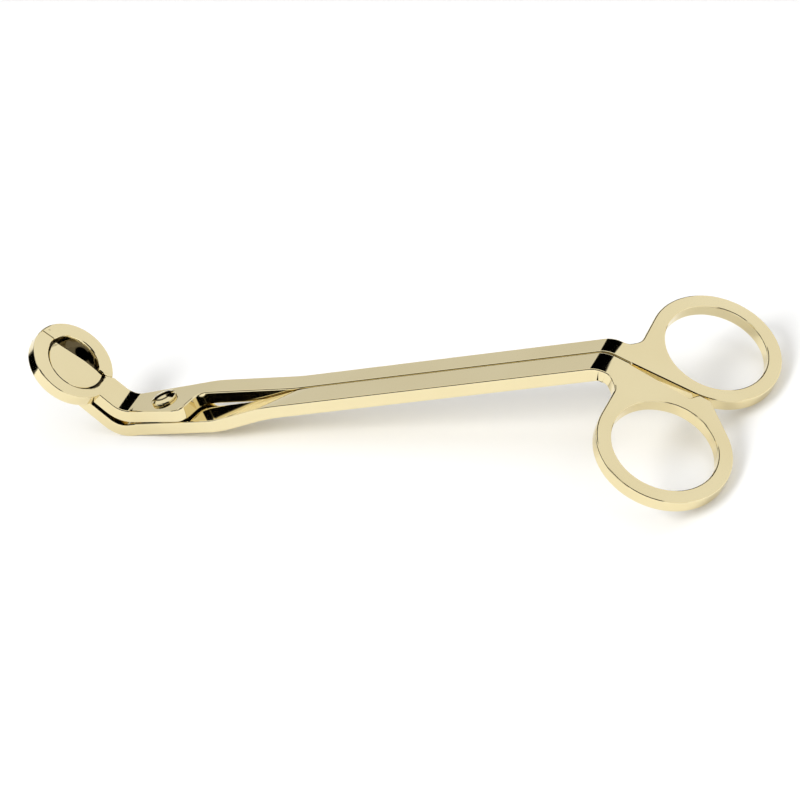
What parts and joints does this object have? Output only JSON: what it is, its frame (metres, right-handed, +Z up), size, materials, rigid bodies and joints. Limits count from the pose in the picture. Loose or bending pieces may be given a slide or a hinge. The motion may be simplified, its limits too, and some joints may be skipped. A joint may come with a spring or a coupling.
{
  "type": "wick trimmer",
  "caption": "Scissor-action candle wick trimmer with an angled round head of tray and blade, long shanks and two finger rings.",
  "frame": {"origin": "middle of the bounding box, on the surface that the closed tool rests on", "axes": "+X from the cutting head to the finger rings, +Y towards the tray arm's finger ring, +Z up; the pivot screw leans back from +Z by the angle at which the tool rests"},
  "size_m": [0.183, 0.073, 0.0284],
  "materials": {
    "arm_plating": "mirror-polished pale gold plating over steel",
    "screw_plating": "polished pale gold plating on a turned steel screw",
    "washer_steel": "thin polished steel washer"
  },
  "bodies": {
    "blade_side": {"blade_arm": "arm_plating", "pivot_screw": "screw_plating", "pivot_washer": "washer_steel"},
    "tray_side": {"tray_arm": "arm_plating"}
  },
  "joints": [
    {"name": "arm_pivot", "type": "hinge", "parent": "blade_side", "child": "tray_side", "pos_m": [-0.05849, 0, 0.00521], "axis": [-0.1295, 0, 0.9916], "range_deg": [0, 25]}
  ]
}
